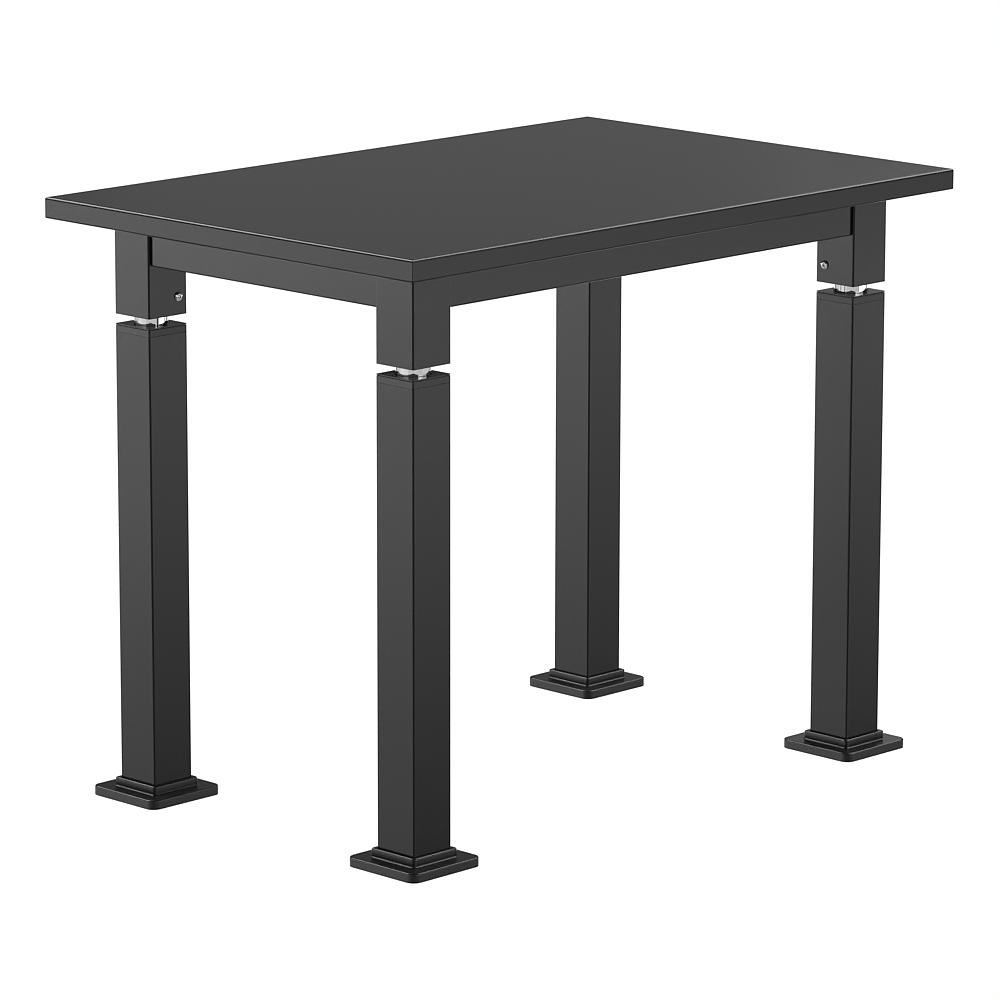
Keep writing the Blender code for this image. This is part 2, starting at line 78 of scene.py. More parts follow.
# Lowest corner, highest corner and middle of a node, as arrays
def spanOf(node):
    low, high = (np.array(end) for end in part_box(node))
    return low, high, (low + high) / 2


# The placing of a light or a camera: its three directions and its place are the columns
def placing(across, up, back, place):
    matrix = np.eye(4)
    matrix[:3] = np.stack([across, up, back, place], axis=1)
    return Matrix(matrix)


# A profile of straight runs whose corners become arcs. Each arc touches both runs: its middle lies on the
# bisector, at the radius over the sine of half the angle, and its points blend the two ends by sines. One
# more point just outside each end of the arc keeps the runs flat when they are shaded smooth.
def rounded(points, radii, arcSteps=6, closed=False, brace=0.0006, braceShare=0.2):
    points = np.array(points, float)
    last = len(points) - 1
    share = np.linspace(0, 1, arcSteps + 1)[:, None]
    runs = []
    for index, radius in enumerate(radii):
        corner = points[index]
        if radius == 0 or (not closed and index in (0, last)):
            runs.append(corner[None])
            continue
        before = points[index - 1] - corner
        after = points[(index + 1) % (last + 1)] - corner
        lengthBefore, lengthAfter = np.linalg.norm(before), np.linalg.norm(after)
        before, after = before / lengthBefore, after / lengthAfter
        halfAngle = np.arccos(np.clip(before @ after, -1, 1)) / 2
        bisector = (before + after) / np.linalg.norm(before + after)
        middle = corner + bisector * radius / np.sin(halfAngle)
        start = corner + before * radius / np.tan(halfAngle)
        end = corner + after * radius / np.tan(halfAngle)
        sweep = np.pi - 2 * halfAngle
        arc = np.sin((1 - share) * sweep) * (start - middle) + np.sin(share * sweep) * (end - middle)
        first = start + before * min(brace, braceShare * lengthBefore)
        final = end + after * min(brace, braceShare * lengthAfter)
        runs.append(np.vstack([first, middle + arc / np.sin(sweep), final]))
    return np.vstack(runs)


# Level outlines of rectangles with round corners, one row for each level: a quarter is an arc about the
# corner's middle, with one more point on the straight either side of it
def rectangleRings(halfX, halfY, radius, level, arcSteps=8, brace=0.0012):
    lists = (halfX, halfY, radius, level)
    halfX, halfY, radius, level = (np.asarray(values, float)[:, None, None] for values in lists)
    turn = np.concatenate([[0], np.linspace(0, np.pi / 2, arcSteps + 1), [np.pi / 2]])
    slide = np.zeros_like(turn)
    slide[0], slide[-1] = -brace, brace
    angle = np.arange(4)[:, None] * np.pi / 2 + turn
    sideX = np.array([1, -1, -1, 1])[:, None]
    sideY = np.array([1, 1, -1, -1])[:, None]
    x = sideX * (halfX - radius) + radius * np.cos(angle) - slide * np.sin(angle)
    y = sideY * (halfY - radius) + radius * np.sin(angle) + slide * np.cos(angle)
    rings = np.stack([x, y, np.broadcast_to(level, x.shape)], axis=-1)
    return rings.reshape(len(rings), -1, 3)


# Square rings from a profile of half sides and levels. The corners roll: their radius shrinks as much as
# the half side does, down to a least radius.
def squareRings(profile, fullHalf, fullRadius, leastRadius=0.0005, arcSteps=8):
    half, level = np.asarray(profile).T
    radius = np.maximum(fullRadius + half - fullHalf, leastRadius)
    return rectangleRings(half, half, radius, level, arcSteps)


# Round rings from a profile of radii and levels, with the points half a step off the axes
def roundRings(profile, around):
    reach, level = np.asarray(profile, float).T
    angle = (np.arange(around) + 0.5) / around * 2 * np.pi
    x = reach[:, None] * np.cos(angle)
    y = reach[:, None] * np.sin(angle)
    return np.stack([x, y, np.broadcast_to(level[:, None], x.shape)], axis=-1)


# A skin of four-sided faces through rings of points, which run anticlockwise and climb the outside.
# The last ring joins the first on a closed skin, as on a tube. Otherwise one flat face fills each end.
def skin(name, rings, closed=False, sharpAngle=38):
    rows, around = rings.shape[:2]
    row = np.arange(rows if closed else rows - 1)[:, None]
    step = np.arange(around)[None]
    following = (step + 1) % around
    above = (row + 1) % rows
    quads = np.stack([row * around + step, row * around + following, above * around + following,
                      above * around + step], axis=-1).reshape(-1, 4).tolist()
    ends = [] if closed else [list(range(around))[::-1], list(range((rows - 1) * around, rows * around))]
    mesh = bpy.data.meshes.new(name)
    mesh.from_pydata(rings.reshape(-1, 3), [], quads + ends)
    mesh.shade_smooth()
    mesh.set_sharp_from_angle(angle=math.radians(sharpAngle))
    return mesh


# A finished piece rides on the body of its node, and it stands for that node unless it is an extra
def dress(name, mesh, material, node, extra=False):
    mesh.materials.append(material)
    piece = bpy.data.objects.new(name, mesh)
    bpy.context.scene.collection.objects.link(piece)
    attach(piece, frame["nodes"][node]["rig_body"])
    if not extra:
        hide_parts(node)


# Noise: the finer layers of the grain and of the mottle, how fast they fade, and the value they vary about
noiseShape = {"grainDetail": 2.0, "mottleDetail": 3.0, "falloff": 0.55, "middle": 0.5}


# One socket of a shader tree, so that patterns are added and multiplied as plain formulas
class Signal:
    def __init__(self, tree, socket=None):
        self.tree = tree
        self.socket = socket

    # Any node: its settings first, then a value or a link for each socket
    def node(self, kind, settings=None, sockets=None, out=0):
        made = self.tree.nodes.new(kind)
        for key, value in (settings or {}).items():
            setattr(made, key, value)
        for key, value in (sockets or {}).items():
            if isinstance(value, Signal):
                self.tree.links.new(value.socket, made.inputs[key])
            else:
                made.inputs[key].default_value = value
        return Signal(self.tree, None if out is None else made.outputs[out])

    def math(self, operation, first, second):
        return self.node("ShaderNodeMath", {"operation": operation}, {0: first, 1: second})

    def __add__(self, other):
        return self.math("ADD", self, other)

    def __sub__(self, other):
        return self.math("SUBTRACT", self, other)

    def __rsub__(self, other):
        return self.math("SUBTRACT", other, self)

    def __mul__(self, other):
        return self.math("MULTIPLY", self, other)

    __radd__ = __add__
    __rmul__ = __mul__

    # Noise about zero, with features of the given size in metres
    def noise(self, place, size, detail):
        sockets = {"Vector": place, "Scale": 1 / size, "Detail": detail, "Roughness": noiseShape["falloff"]}
        return self.node("ShaderNodeTexNoise", None, sockets) - noiseShape["middle"]

    # One colour into another by a mask
    def blend(self, mask, first, second):
        sockets = {0: mask, 6: (*first, 1), 7: (*second, 1)}
        return self.node("ShaderNodeMix", {"data_type": "RGBA"}, sockets, 2)


# A finish whose tone, gloss and surface all vary a little: a broad mottle, and a fine grain of which the
# bump is a true height in metres
def surfaceFinish(name, look):
    material = bpy.data.materials.new(name)
    material.use_nodes = True
    shader = material.node_tree.nodes["Principled BSDF"]
    for key, value in look["constant"].items():
        shader.inputs[key].default_value = value
    start = Signal(material.node_tree)
    place = start.node("ShaderNodeTexCoord", out="Object")
    if "stretch" in look:
        place = start.node("ShaderNodeMapping", None, {"Vector": place, "Scale": look["stretch"]})
    mottle = start.noise(place, look["mottleSize"], noiseShape["mottleDetail"])
    grain = start.noise(place, look["grainSize"], noiseShape["grainDetail"])
    tone = start.blend(mottle + noiseShape["middle"], look["darkTone"], look["paleTone"])
    gloss = look["roughness"] + look["roughnessSpread"] * (mottle + grain)
    height = {"Strength": 1.0, "Distance": look["grainHeight"], "Height": grain}
    bump = start.node("ShaderNodeBump", None, height)
    for key, signal in (("Base Color", tone), ("Roughness", gloss), ("Normal", bump)):
        material.node_tree.links.new(signal.socket, shader.inputs[key])
    return material


powderCoatLook = {
    "constant": {"IOR": 1.45, "Specular IOR Level": 0.5},
    "darkTone": (0.0105, 0.0105, 0.0105),
    "paleTone": (0.0135, 0.0135, 0.0135),
    "roughness": 0.18,
    "roughnessSpread": 0.03,
    "mottleSize": 0.030,
    "grainSize": 0.0007,
    "grainHeight": 0.000012,
}
worktopLook = {
    "constant": {"IOR": 1.40, "Specular IOR Level": 0.5},
    "darkTone": (0.0110, 0.0110, 0.0110),
    "paleTone": (0.0130, 0.0130, 0.0130),
    "roughness": 0.18,
    "roughnessSpread": 0.02,
    "mottleSize": 0.060,
    "grainSize": 0.0009,
    "grainHeight": 0.000010,
}
mouldingLook = {
    "constant": {"IOR": 1.55, "Specular IOR Level": 0.5},
    "darkTone": (0.0100, 0.0100, 0.0100),
    "paleTone": (0.0130, 0.0130, 0.0130),
    "roughness": 0.28,
    "roughnessSpread": 0.03,
    "mottleSize": 0.012,
    "grainSize": 0.0005,
    "grainHeight": 0.000002,
}
wiperLook = {
    "constant": {"IOR": 1.50, "Specular IOR Level": 0.5},
    "darkTone": (0.0080, 0.0080, 0.0080),
    "paleTone": (0.0110, 0.0110, 0.0110),
    "roughness": 0.22,
    "roughnessSpread": 0.06,
    "mottleSize": 0.006,
    "grainSize": 0.0004,
    "grainHeight": 0.000003,
}
chromeLook = {
    "constant": {"Metallic": 1.0},
    "darkTone": (0.70, 0.70, 0.70),
    "paleTone": (0.76, 0.76, 0.76),
    "roughness": 0.03,
    "roughnessSpread": 0.012,
    "mottleSize": 0.015,
    "grainSize": 0.0012,
    "grainHeight": 0.0000001,
    "stretch": (0.25, 0.25, 3.0),
}
screwLook = {
    "constant": {"Metallic": 1.0},
    "darkTone": (0.58, 0.61, 0.62),
    "paleTone": (0.70, 0.72, 0.72),
    "roughness": 0.16,
    "roughnessSpread": 0.08,
    "mottleSize": 0.002,
    "grainSize": 0.0003,
    "grainHeight": 0.000002,
}
spindleLook = {
    "constant": {"Metallic": 1.0},
    "darkTone": (0.42, 0.41, 0.40),
    "paleTone": (0.52, 0.51, 0.50),
    "roughness": 0.30,
    "roughnessSpread": 0.10,
    "mottleSize": 0.010,
    "grainSize": 0.0006,
    "grainHeight": 0.000003,
}
acetalLook = {
    "constant": {"IOR": 1.48, "Specular IOR Level": 0.5},
    "darkTone": (0.66, 0.66, 0.63),
    "paleTone": (0.74, 0.74, 0.71),
    "roughness": 0.44,
    "roughnessSpread": 0.08,
    "mottleSize": 0.008,
    "grainSize": 0.0005,
    "grainHeight": 0.000004,
}
castingLook = {
    "constant": {"Metallic": 1.0},
    "darkTone": (0.36, 0.37, 0.38),
    "paleTone": (0.48, 0.49, 0.50),
    "roughness": 0.52,
    "roughnessSpread": 0.14,
    "mottleSize": 0.006,
    "grainSize": 0.0009,
    "grainHeight": 0.000020,
}

powderCoat = surfaceFinish("blackPowderCoat", powderCoatLook)
worktopFinish = surfaceFinish("blackWorktop", worktopLook)
moulding = surfaceFinish("blackMoulding", mouldingLook)
wiperRubber = surfaceFinish("blackWiper", wiperLook)
chrome = surfaceFinish("hardChrome", chromeLook)
screwPlating = surfaceFinish("zincPlating", screwLook)
spindleSteel = surfaceFinish("rolledSteel", spindleLook)
acetal = surfaceFinish("naturalAcetal", acetalLook)
casting = surfaceFinish("zincCasting", castingLook)
print("finishes:", len(bpy.data.materials))

# Pieces that keep their solid's shape get their finish
keptNodes = {}
for corner in corners:
    keptNodes[f"column_head_{corner}"] = casting
    keptNodes[f"gear_motor_{corner}"] = casting
    keptNodes[f"column_glide_{corner}"] = acetal
    keptNodes[f"spindle_nut_{corner}"] = acetal
    keptNodes[f"spindle_{corner}"] = spindleSteel
for node, material in keptNodes.items():
    mesh = frame["nodes"][node].data
    mesh.materials.clear()
    mesh.materials.append(material)
print("kept solids:", len(keptNodes))

# Tabletop: the slab's outline shrinks along a profile with a round edge above and below
slab = {
    "cornerRadius": 0.0006,
    "leastRadius": 0.0004,
    "upperRounding": 0.0030,
    "lowerRounding": 0.0020,
    "rimWidth": 0.02,
    "arcSteps": 10,
}


def buildTabletop():
    low, high, middle = spanOf("tabletop")
    half = (high - low) / 2
    rim = slab["rimWidth"]
    points = [(rim, low[2]), (0, low[2]), (0, high[2]), (rim, high[2])]
    profile = rounded(points, [0, slab["lowerRounding"], slab["upperRounding"], 0], slab["arcSteps"])
    inset, level = profile.T
    radius = np.maximum(slab["cornerRadius"] - inset, slab["leastRadius"])
    rings = rectangleRings(half[0] - inset, half[1] - inset, radius, level, slab["arcSteps"])
    rings[..., :2] += middle[:2]
    dress("worktopSlab", skin("worktopSlab", rings), worktopFinish, "tabletop")


buildTabletop()
print("tabletop done")

# Square tubes of the stubs and lower legs: a closed profile round the wall, carried round a square
tubeShape = {"wall": 0.002, "cornerRadius": 0.0024, "cutEdge": 0.00007, "arcSteps": 4}


def squareTube(name, node):
    low, high, middle = spanOf(node)
    half = (high - low)[0] / 2
    bore = half - tubeShape["wall"]
    points = [(half, low[2]), (half, high[2]), (bore, high[2]), (bore, low[2])]
    profile = rounded(points, [tubeShape["cutEdge"]] * 4, tubeShape["arcSteps"], closed=True)
    rings = squareRings(profile, half, tubeShape["cornerRadius"])
    rings[..., :2] += middle[:2]
    return skin(name, rings, closed=True)


for corner in corners:
    for kind, node in (("upperLeg", f"stub_{corner}"), ("lowerLeg", f"lower_leg_{corner}")):
        name = f"{kind}_{corner}"
        dress(name, squareTube(name, node), powderCoat, node)
print("leg tubes done")

# Rails: a rectangle with round corners, carried from end to end. Its lower side is lifted a little.
railShape = {"edgeRadius": 0.0016, "lift": 0.00028, "arcSteps": 6}


def rail(name, node):
    low, high = spanOf(node)[:2]
    along = int(np.argmax((high - low)[:2]))
    across = 1 - along
    low[2] += railShape["lift"]
    points = [(low[across], low[2]), (high[across], low[2]), (high[across], high[2]), (low[across], high[2])]
    section = rounded(points, [railShape["edgeRadius"]] * 4, railShape["arcSteps"], closed=True)
    if along == 1:
        section = section[::-1]  # so that the faces still point outwards
    rings = np.empty((2, len(section), 3))
    rings[:, :, across], rings[:, :, 2] = section.T
    rings[:, :, along] = np.array([low[along], high[along]])[:, None]
    return skin(name, rings)


for side in ("front", "rear", "left", "right"):
    name = f"{side}Rail"
    dress(name, rail(name, f"{side}_rail"), powderCoat, f"{side}_rail")
print("rails done")

# End collars: each stub is closed below by a square collar, almost flush with its end, that the column
# passes through
collarShape = {
    "clearance": 0.0001,
    "inset": 0.0001,
    "thickness": 0.003,
    "rimWidth": 0.003,
    "boreRadius": 0.0202,
    "edge": 0.0001,
    "arcSteps": 4,
}


def endCollar(name, node):
    low, high, middle = spanOf(node)
    shape = collarShape
    half = (high - low)[0] / 2 - tubeShape["wall"] - shape["clearance"]
    bottom = low[2] + shape["inset"]
    top = bottom + shape["thickness"]
    edge = shape["edge"]
    rim = half - shape["rimWidth"]
    outside = [(rim, bottom), (half, bottom), (half, top), (rim, top)]
    square = squareRings(rounded(outside, [0, edge, edge, 0], shape["arcSteps"]), half, edge, edge)
    turned = roundRings([(shape["boreRadius"], top), (shape["boreRadius"], bottom)], square.shape[1])
    rings = np.concatenate([square, turned])
    rings[..., :2] += middle[:2]
    return skin(name, rings, closed=True)


for corner in corners:
    name = f"endCollar_{corner}"
    dress(name, endCollar(name, f"stub_{corner}"), moulding, f"stub_{corner}", extra=True)
print("end collars done")

# Columns: the wall's closed profile turned about the column's axis
columnShape = {"radius": 0.0198, "wall": 0.0033, "cutEdge": 0.0006, "arcSteps": 4, "around": 128}


def turnedTube(name, node):
    low, high, middle = spanOf(node)
    radius = columnShape["radius"]
    bore = radius - columnShape["wall"]
    points = [(radius, low[2]), (radius, high[2]), (bore, high[2]), (bore, low[2])]
    profile = rounded(points, [columnShape["cutEdge"]] * 4, columnShape["arcSteps"], closed=True)
    rings = roundRings(profile, columnShape["around"])
    rings[..., :2] += middle[:2]
    return skin(name, rings, closed=True)


for corner in corners:
    name = f"chromeColumn_{corner}"
    dress(name, turnedTube(name, f"column_{corner}"), chrome, f"column_{corner}")
print("columns done")

# Guide caps: square rings up the plug and the flange, through a fine groove near its top and over the edge,
# then round rings down through the wiper's seat and the bore
capShape = {
    "plugHalf": 0.0272,
    "plugRadius": 0.0007,
    "flangeHeight": 0.0097,
    "grooveDrop": 0.0011,
    "grooveHeight": 0.0010,
    "grooveDepth": 0.0015,
    "topEdge": 0.0001,
    "topRim": 0.004,
    "seamEdge": 0.00007,
    "seatRadius": 0.0212,
    "seatDepth": 0.003,
    "seatRim": 0.0008,
    "seatEdge": 0.0003,
    "boreRadius": 0.0201,
    "boreEdge": 0.0002,
    "cornerSteps": 8,
    "edgeSteps": 6,
    "seatSteps": 4,
}


def guideCap(name, node):
    low, high, middle = spanOf(node)
    bottom, top = low[2], high[2]
    half = (high - low)[0] / 2
    shape = capShape
    plug, edge = shape["plugHalf"], shape["seamEdge"]
    seat, bore = shape["seatRadius"], shape["boreRadius"]
    seam = top - shape["flangeHeight"]
    seatFloor = top - shape["seatDepth"]
    grooveTop = top - shape["grooveDrop"]
    grooveFloor = grooveTop - shape["grooveHeight"]
    inner = half - shape["grooveDepth"]
    outside = [(plug, bottom), (plug, seam), (half, seam), (half, grooveFloor), (inner, grooveFloor),
               (inner, grooveTop), (half, grooveTop), (half, top), (half - shape["topRim"], top)]
    radii = [0, 0, edge, edge, 0, 0, edge, shape["topEdge"], 0]
    profile = rounded(outside, radii, shape["edgeSteps"])
    square = squareRings(profile, half, tubeShape["cornerRadius"], shape["plugRadius"], shape["cornerSteps"])
    inside = [(seat + shape["seatRim"], top), (seat, top), (seat, seatFloor), (bore, seatFloor),
              (bore, bottom)]
    radii = [0, shape["seatEdge"], 0, shape["boreEdge"], 0]
    turned = roundRings(rounded(inside, radii, shape["seatSteps"]), square.shape[1])
    rings = np.concatenate([square, turned])
    rings[..., :2] += middle[:2]
    return skin(name, rings, closed=True)


for corner in corners:
    name = f"guideCap_{corner}"
    dress(name, guideCap(name, f"guide_cap_{corner}"), moulding, f"guide_cap_{corner}")
print("guide caps done")

# Wiper rings: a narrow rubber ring lies level with the cap, and its lip leans on the column
wiperShape = {
    "outerRadius": 0.0210,
    "outerEdge": 0.0002,
    "boreRadius": 0.0201,
    "lipRadius": 0.01985,
    "lipWidth": 0.0001,
    "lipRise": 0.0001,
    "drop": 0.0002,
    "groove": 0.0008,
    "edge": 0.0001,
    "arcSteps": 4,
    "around": 128,
    "sharpAngle": 60,
}


def wiperRing(name, node, cap):
    low, _, middle = spanOf(node)
    capHigh = spanOf(cap)[1]
    shape = wiperShape
    bottom = low[2]
    top = capHigh[2] - shape["drop"]
    outer, bore, lip = shape["outerRadius"], shape["boreRadius"], shape["lipRadius"]
    edge = shape["edge"]
    points = [(outer, bottom), (outer, top), (bore + shape["lipWidth"], top), (lip, top + shape["lipRise"]),
              (bore, top - shape["groove"]), (bore, bottom)]
    radii = [edge, shape["outerEdge"], 0, 0, edge, edge]
    profile = rounded(points, radii, shape["arcSteps"], closed=True, brace=edge)
    rings = roundRings(profile, shape["around"])
    rings[..., :2] += middle[:2]
    return skin(name, rings, closed=True, sharpAngle=shape["sharpAngle"])


for corner in corners:
    name = f"wiperRing_{corner}"
    node = f"wiper_ring_{corner}"
    dress(name, wiperRing(name, node, f"guide_cap_{corner}"), wiperRubber, node)
print("wiper rings done")

# Feet: square rings up the plate and the collar, with a hollow between the two, then down into the socket.
# The corner radius at any reach lies on straight runs between the known ones.
footShape = {
    "plateHeight": 0.0112,
    "plateRadius": 0.0115,
    "plateRounding": 0.0017,
    "soleRounding": 0.0006,
    "soleRim": 0.006,
    "collarHalf": 0.0350,
    "collarRadius": 0.0045,
    "collarRounding": 0.0018,
    "hollow": 0.0012,
    "socketHalf": 0.0298,
    "socketRadius": 0.0027,
    "socketFloor": 0.006,
    "mouthEdge": 0.0004,
    "arcSteps": 8,
    "cornerSteps": 10,
}


def foot(name, node):
    low, high, middle = spanOf(node)
    half = (high - low)[0] / 2
    shape = footShape
    sole = half - shape["soleRim"]
    points = [
        (sole, low[2]),
        (half, low[2]),
        (half, shape["plateHeight"]),
        (shape["collarHalf"], shape["plateHeight"]),
        (shape["collarHalf"], high[2]),
        (shape["socketHalf"], high[2]),
        (shape["socketHalf"], shape["socketFloor"]),
    ]
    radii = [0, shape["soleRounding"], shape["plateRounding"], shape["hollow"], shape["collarRounding"],
             shape["mouthEdge"], 0]
    reach, level = rounded(points, radii, shape["arcSteps"]).T
    soleRadius = shape["plateRadius"] - shape["soleRim"]
    knownReach = [shape["socketHalf"], shape["collarHalf"], sole, half]
    knownRadius = [shape["socketRadius"], shape["collarRadius"], soleRadius, shape["plateRadius"]]
    radius = np.interp(reach, knownReach, knownRadius)
    rings = rectangleRings(reach, reach, radius, level, shape["cornerSteps"])
    rings[..., :2] += middle[:2]
    return skin(name, rings)


for corner in corners:
    name = f"footBoot_{corner}"
    dress(name, foot(name, f"foot_{corner}"), moulding, f"foot_{corner}")
print("feet done")

# Stub screws: a turned button head on its shank. The dome is part of a sphere about a point on the axis,
# through the rim and the edge of the crown. In the socket the reach follows a hexagon: half the width over
# the cosine of the angle from the nearest flat's middle.
screwShape = {
    "shankRadius": 0.003,
    "shankEdge": 0.0005,
    "headRadius": 0.00525,
    "headHeight": 0.0033,
    "headEdge": 0.0002,
    "rimHeight": 0.0010,
    "crownRadius": 0.0030,
    "crownHeight": 0.0020,
    "socketWidth": 0.004,
    "socketDepth": 0.0016,
    "socketEdge": 0.0002,
    "socketLead": 0.0003,
    "drillDepth": 0.0006,
    "drillShare": 0.35,
    "around": 96,
    "domeSteps": 12,
    "sharpAngle": 30,
}


def screwRings(length):
    shape = screwShape
    shank, shankEdge = shape["shankRadius"], shape["shankEdge"]
    head, headEdge = shape["headRadius"], shape["headEdge"]
    rim = np.array([head, shape["rimHeight"]])
    crown = np.array([shape["crownRadius"], shape["crownHeight"]])
    centre = (crown @ crown - rim @ rim) / (2 * (crown[1] - rim[1]))
    sphere = math.hypot(rim[0], rim[1] - centre)
    spread = np.linspace(rim[0], crown[0], shape["domeSteps"])
    dome = np.stack([spread, centre + np.sqrt(sphere**2 - spread**2)], axis=-1)
    end = shape["headHeight"] - length
    lower = [(shank - shankEdge, end), (shank, end + shankEdge), (shank, 0), (head - headEdge, 0),
             (head, headEdge)]
    mouth = shape["socketWidth"] / 2 / math.cos(math.pi / 6) + shape["socketEdge"]
    upper = [(mouth + shape["socketEdge"], crown[1]), (mouth, crown[1])]
    turned = roundRings(np.vstack([lower, dome, upper]), shape["around"])
    angle = (np.arange(shape["around"]) + 0.5) / shape["around"] * 2 * np.pi
    reach = shape["socketWidth"] / 2 / np.cos(angle % (np.pi / 3) - np.pi / 6)
    bottom = crown[1] - shape["socketDepth"]
    scale = np.array([1, 1, shape["drillShare"]])[:, None]
    level = np.array([crown[1] - shape["socketLead"], bottom, bottom - shape["drillDepth"]])[:, None]
    x = scale * reach * np.cos(angle)
    y = scale * reach * np.sin(angle)
    hexagon = np.stack([x, y, np.broadcast_to(level, x.shape)], axis=-1)
    return np.concatenate([turned, hexagon])


# The screw's axis points away from the stub's middle, and the head's seat lies the solid's head height below
# the solid's tip
def stubScrew(name, node, stub):
    low, high, middle = spanOf(node)
    stubMiddle = spanOf(stub)[2]
    offset = middle - stubMiddle
    axis = int(np.argmax(np.abs(offset[:2])))
    out = np.zeros(3)
    out[axis] = np.sign(offset[axis])
    up = np.array([0, 0, 1])
    side = np.cross(up, out)
    rings = screwRings((high - low)[axis])
    tip = high[axis] if out[axis] > 0 else low[axis]
    base = middle.copy()
    base[axis] = tip - out[axis] * screwShape["headHeight"]
    placed = base + rings[..., :1] * side + rings[..., 1:2] * up + rings[..., 2:] * out
    return skin(name, placed, sharpAngle=screwShape["sharpAngle"])


for corner in corners:
    for letter in "ab":
        name = f"stubScrew_{corner}_{letter}"
        node = f"stub_screw_{corner}_{letter}"
        dress(name, stubScrew(name, node, f"stub_{corner}"), screwPlating, node)
print("screws done")

# Floor: wide, pale and even, and far off a cove climbs from it to a wall. It is there for the camera only,
# so that the light round the table is the studio light alone.
floorShape = {
    "reach": 30.0,
    "innerReach": 0.5,
    "coveRadius": 8.0,
    "coveSteps": 16,
    "wallHeight": 25.0,
    "around": 96,
    "drop": 0.0003,
}
floorLook = {"tone": 0.05, "glow": 1.0, "roughness": 0.9}


def buildFloor():
    shape = floorShape
    ground = -shape["drop"]
    points = [(shape["reach"], shape["wallHeight"]), (shape["reach"], ground), (shape["innerReach"], ground)]
    profile = rounded(points, [0, shape["coveRadius"], 0], shape["coveSteps"])
    mesh = skin("floor", roundRings(profile, shape["around"]))
    material = bpy.data.materials.new("paleFloor")
    material.use_nodes = True
    shader = material.node_tree.nodes["Principled BSDF"]
    shader.inputs["Base Color"].default_value = (floorLook["tone"],) * 3 + (1,)
    shader.inputs["Roughness"].default_value = floorLook["roughness"]
    shader.inputs["Emission Color"].default_value = (1, 1, 1, 1)
    shader.inputs["Emission Strength"].default_value = floorLook["glow"]
    mesh.materials.append(material)
    floor = bpy.data.objects.new("floor", mesh)
    bpy.context.scene.collection.objects.link(floor)
    floor.visible_diffuse = False
    floor.visible_glossy = False
    floor.visible_transmission = False
    floor.visible_shadow = False


buildFloor()
print("floor done")

# Studio light: far panels stand all round the table. Each has its two azimuths, the elevations between its
# strips and the radiance of each strip. The angles are in degrees, seen from the centre's height above the
# origin. A wide panel is made of flat sections side by side, each up to the section width in degrees.
panelShape = {"distance": 20.0, "centre": 0.4, "sectionWidth": 16.0}
panels = {
    "left": {"azimuths": (104, 135),
             "elevations": (-60, -19, -13, -10.8, -9.4, -7.5, -3, 3, 12),
             "radiance": (0.25, 0.82, 2.08, 0.65, 4.10, 1.58, 0.41, 0.60)},
    "leftFront": {"azimuths": (135, 166),
                  "elevations": (-60, -19, -13, -10.8, -9.4, -7.5, -3, 3, 12),
                  "radiance": (0.25, 0.98, 1.98, 0.85, 3.60, 1.82, 0.60, 0.80)},
    "frontLeft": {"azimuths": (166, 193), "elevations": (-60, -24, -10.8, -9.4, -1, 20),
                  "radiance": (0.60, 0.45, 0.80, 0.45, 0.80)},
    "front": {"azimuths": (193, 256), "elevations": (-60, -24, -10.7, -9.4, -1, 16),
              "radiance": (0.60, 0.10, 0.62, 0.10, 0.16)},
    "frontRight": {"azimuths": (256, 284), "elevations": (-60, -24, -10.8, -9.3, -1, 20),
                   "radiance": (0.60, 0.22, 0.57, 0.22, 3.0)},
    "rightFront": {"azimuths": (284, 315),
                   "elevations": (-60, -24, -16, -13, -10.9, -10.35, -8.5, -3, 3, 12, 28),
                   "radiance": (0.35, 0.15, 0.63, 1.28, 0.57, 2.28, 0.82, 0.33, 2.00, 1.00)},
    "right": {"azimuths": (315, 346), "elevations": (-60, -24, -16, -13, -10.9, -10.35, -8.5, -3, 3),
              "radiance": (0.35, 0.03, 0.45, 0.76, 0.60, 1.78, 0.50, 0.17)},
    "backRightLow": {"azimuths": (-14, 12), "elevations": (-40, -9, -2), "radiance": (0.45, 3.0)},
    "backLow": {"azimuths": (12, 78), "elevations": (-40, -9, -2), "radiance": (1.20, 3.0)},
    "backLeftLow": {"azimuths": (78, 104), "elevations": (-40, -9, -2), "radiance": (0.55, 3.0)},
    "backRight": {"azimuths": (28, 40), "elevations": (12, 40), "radiance": (0.92,)},
    "back": {"azimuths": (40, 50), "elevations": (0, 12, 20), "radiance": (0.16, 0.11)},
    "backLeft": {"azimuths": (50, 62), "elevations": (0, 12), "radiance": (0.15,)},
}
# Two soft boxes hang high up and face the tabletop
softBoxes = {
    "highLeft": {"place": (-0.72, 2.18, 2.80), "size": 1.9, "radiance": 6.8},
    "highRight": {"place": (2.18, -0.72, 2.80), "size": 1.9, "radiance": 5.6},
}
roomTone = 0.05


# One area light that faces a point. Its power is its radiance times its area times pi.
def areaLight(name, place, aim, width, height, radiance):
    lamp = bpy.data.lights.new(name, "AREA")
    lamp.shape = "RECTANGLE"
    lamp.size, lamp.size_y = width, height
    lamp.energy = radiance * width * height * math.pi
    light = bpy.data.objects.new(name, lamp)
    bpy.context.scene.collection.objects.link(light)
    back = np.array(place, float) - np.array(aim, float)
    back /= np.linalg.norm(back)
    across = np.cross((0, 0, 1), back)
    across /= np.linalg.norm(across)
    light.matrix_world = placing(across, np.cross(back, across), back, place)
    light.visible_camera = False


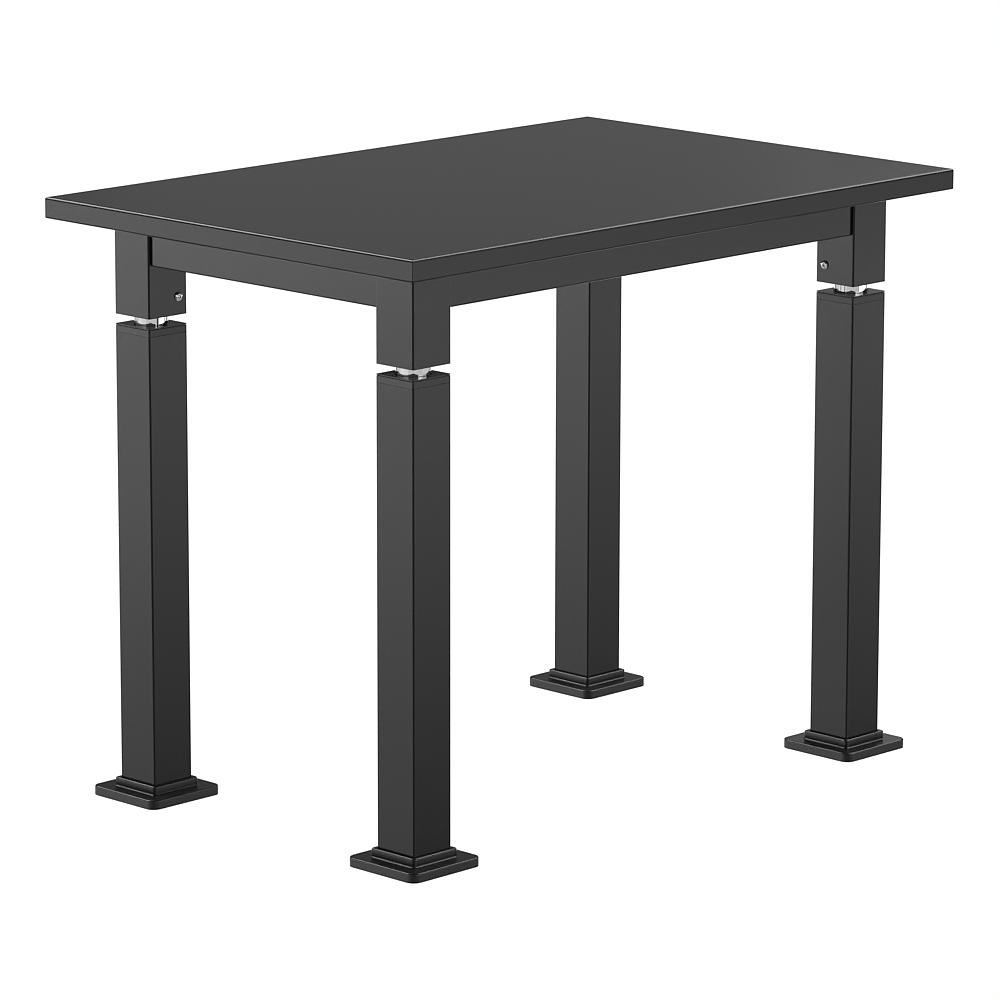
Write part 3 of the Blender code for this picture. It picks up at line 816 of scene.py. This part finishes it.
def buildLights():
    distance = panelShape["distance"]
    for name, panel in panels.items():
        first, last = (math.radians(azimuth) for azimuth in panel["azimuths"])
        sections = math.ceil(math.degrees(last - first) / panelShape["sectionWidth"])
        width = 2 * distance * math.tan((last - first) / sections / 2)
        levels = panelShape["centre"] + distance * np.tan(np.radians(panel["elevations"]))
        for section in range(sections):
            middle = first + (last - first) * (section + 0.5) / sections
            x, y = distance * math.cos(middle), distance * math.sin(middle)
            for low, high, radiance in zip(levels, levels[1:], panel["radiance"]):
                level = (low + high) / 2
                areaLight(name, (x, y, level), (0, 0, level), width, high - low, radiance)
    for name, box in softBoxes.items():
        areaLight(name, box["place"], (0, 0, cadHigh[2]), box["size"], box["size"], box["radiance"])
    world = bpy.data.worlds.new("studio")
    world.use_nodes = True
    world.node_tree.nodes["Background"].inputs["Color"].default_value = (roomTone, roomTone, roomTone, 1)
    bpy.context.scene.world = world


buildLights()
print("light done")

# Camera: it stands well off the table's front left corner and looks down a little. Angles are in degrees,
# and the lens and the sensor's width are in millimetres.
cameraShape = {
    "place": (-4.5658, -4.4816, 1.7290),
    "yaw": 44.533,
    "pitch": 12.340,
    "roll": 0.102,
    "lens": 199.95,
    "sensor": 36.0,
    "farEnd": 200,
}


def buildCamera():
    yaw, pitch, roll = (math.radians(cameraShape[key]) for key in ("yaw", "pitch", "roll"))
    forward = np.array([math.cos(pitch) * math.cos(yaw), math.cos(pitch) * math.sin(yaw), -math.sin(pitch)])
    level = np.array([math.sin(yaw), -math.cos(yaw), 0.0])
    above = np.cross(level, forward)
    right = math.cos(roll) * level + math.sin(roll) * above
    up = math.cos(roll) * above - math.sin(roll) * level
    data = bpy.data.cameras.new("view")
    data.sensor_width = cameraShape["sensor"]
    data.lens = cameraShape["lens"]
    data.clip_end = cameraShape["farEnd"]
    camera = bpy.data.objects.new("view", data)
    bpy.context.scene.collection.objects.link(camera)
    camera.matrix_world = placing(right, up, -forward, cameraShape["place"])
    bpy.context.scene.camera = camera


buildCamera()
bpy.context.scene.view_settings.view_transform = "Standard"
print("camera done")

# Picture: sharpened a little, on the values as they are shown
pictureShape = {"sharpening": 0.09, "rendered": "Linear Rec.709", "displayed": "sRGB"}


def buildPicture():
    studio = bpy.context.scene
    studio.use_nodes = True
    studio.node_tree.nodes.clear()
    start = Signal(studio.node_tree)
    light = start.node("CompositorNodeRLayers")
    rendered, displayed = pictureShape["rendered"], pictureShape["displayed"]
    toDisplay = {"from_color_space": rendered, "to_color_space": displayed}
    fromDisplay = {"from_color_space": displayed, "to_color_space": rendered}
    sharpen = {"filter_type": "SHARPEN"}
    shown = start.node("CompositorNodeConvertColorSpace", toDisplay, {"Image": light})
    crisp = start.node("CompositorNodeFilter", sharpen, {"Fac": pictureShape["sharpening"], "Image": shown})
    back = start.node("CompositorNodeConvertColorSpace", fromDisplay, {"Image": crisp})
    start.node("CompositorNodeComposite", None, {"Image": back}, None)


buildPicture()
print("picture done")
